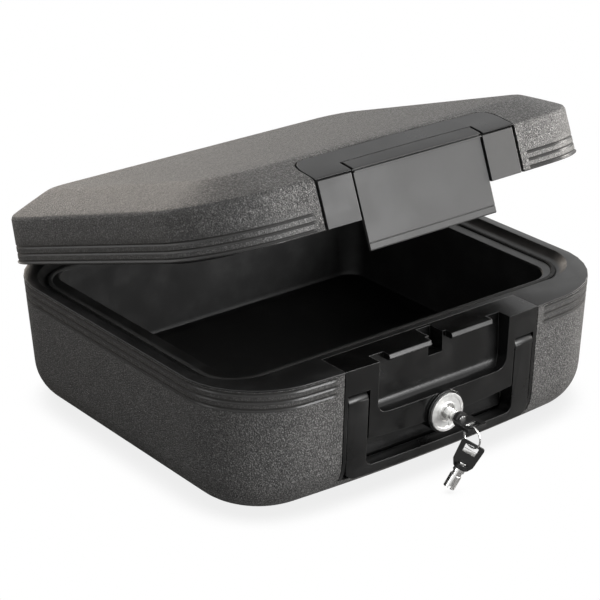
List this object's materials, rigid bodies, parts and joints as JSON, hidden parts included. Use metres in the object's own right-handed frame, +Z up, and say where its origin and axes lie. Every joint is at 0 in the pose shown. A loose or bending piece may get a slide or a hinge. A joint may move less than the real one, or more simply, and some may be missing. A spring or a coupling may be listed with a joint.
{
  "type": "fireproof chest",
  "caption": "Fireproof chest with a hinged lid held ajar, latch flap, carry handle, round key lock, hanging spare key and a lined, sealed cavity.",
  "frame": {"origin": "centre of the footprint on the surface it stands on", "axes": "+Z up, the latch and lock face -Y, +X to the right seen from the front"},
  "size_m": [0.3926, 0.4082, 0.2599],
  "materials": {
    "shell_plastic": "matte",
    "filler": "matte",
    "liner_plastic": "satin",
    "seal_rubber": "matte",
    "trim_plastic": "satin",
    "bright_metal": "polished",
    "zinc_steel": "satin",
    "key_plastic": "satin"
  },
  "bodies": {
    "base": {"base_shell": "shell_plastic", "base_filler": "filler", "base_liner": "liner_plastic", "rim_seal": "seal_rubber", "front_insert": "trim_plastic", "lock_body": "bright_metal", "handle_pin_left": "zinc_steel", "handle_pin_right": "zinc_steel", "lock_nut": "zinc_steel", "hinge_bracket_left": "zinc_steel", "hinge_pin_left": "zinc_steel", "bracket_screw_left_1": "zinc_steel", "bracket_screw_left_2": "zinc_steel", "hinge_bracket_right": "zinc_steel", "hinge_pin_right": "zinc_steel", "bracket_screw_right_1": "zinc_steel", "bracket_screw_right_2": "zinc_steel"},
    "lid": {"lid_shell": "shell_plastic", "lid_filler": "filler", "lid_liner": "liner_plastic", "lid_bezel": "trim_plastic", "lid_cheek_left": "trim_plastic", "lid_cheek_right": "trim_plastic", "latch_pin": "zinc_steel", "hinge_leaf_left": "zinc_steel", "leaf_screw_left_1": "zinc_steel", "leaf_screw_left_2": "zinc_steel", "hinge_leaf_right": "zinc_steel", "leaf_screw_right_1": "zinc_steel", "leaf_screw_right_2": "zinc_steel"},
    "latch": {"latch_flap": "trim_plastic"},
    "handle": {"handle": "trim_plastic"},
    "lock_core": {"lock_plug": "bright_metal", "lock_cam": "zinc_steel", "cam_screw": "zinc_steel"},
    "key": {"key_bow": "key_plastic", "key_tube": "bright_metal"},
    "ring": {"key_ring": "bright_metal"},
    "spare_key": {"spare_key_bow": "key_plastic", "spare_key_tube": "bright_metal"}
  },
  "joints": [
    {"name": "lid_hinge", "type": "hinge", "parent": "base", "child": "lid", "pos_m": [0, 0.1653, 0.0991], "axis": [-1, 0, 0], "range_deg": [-18.2, 77]},
    {"name": "latch_swing", "type": "hinge", "parent": "lid", "child": "latch", "pos_m": [0, -0.1377, 0.24977], "axis": [-1, 0, 0], "range_deg": [0, 75]},
    {"name": "handle_swing", "type": "hinge", "parent": "base", "child": "handle", "pos_m": [0, -0.17043, 0.0842], "axis": [-1, 0, 0], "range_deg": [0, 44]},
    {"name": "lock_turn", "type": "hinge", "parent": "base", "child": "lock_core", "pos_m": [0, -0.17, 0.05141], "axis": [0, 1, 0], "range_deg": [0, 90]},
    {"name": "key_pull", "type": "slide", "parent": "lock_core", "child": "key", "axis": [0, -1, 0], "range_m": [0, 0.02]},
    {"name": "ring_swing", "type": "hinge", "parent": "key", "child": "ring", "pos_m": [-0.0044, -0.2155, 0.05141], "axis": [-1, 0, 0], "range_deg": [0, 113]},
    {"name": "spare_key_swing", "type": "hinge", "parent": "ring", "child": "spare_key", "pos_m": [-0.0044, -0.2155, 0.03571], "axis": [0, 1, 0], "range_deg": [0, 45]}
  ],
  "couplings": [
    {"joint": "ring_swing", "follows": "handle_swing", "ratio": 2.55}
  ]
}
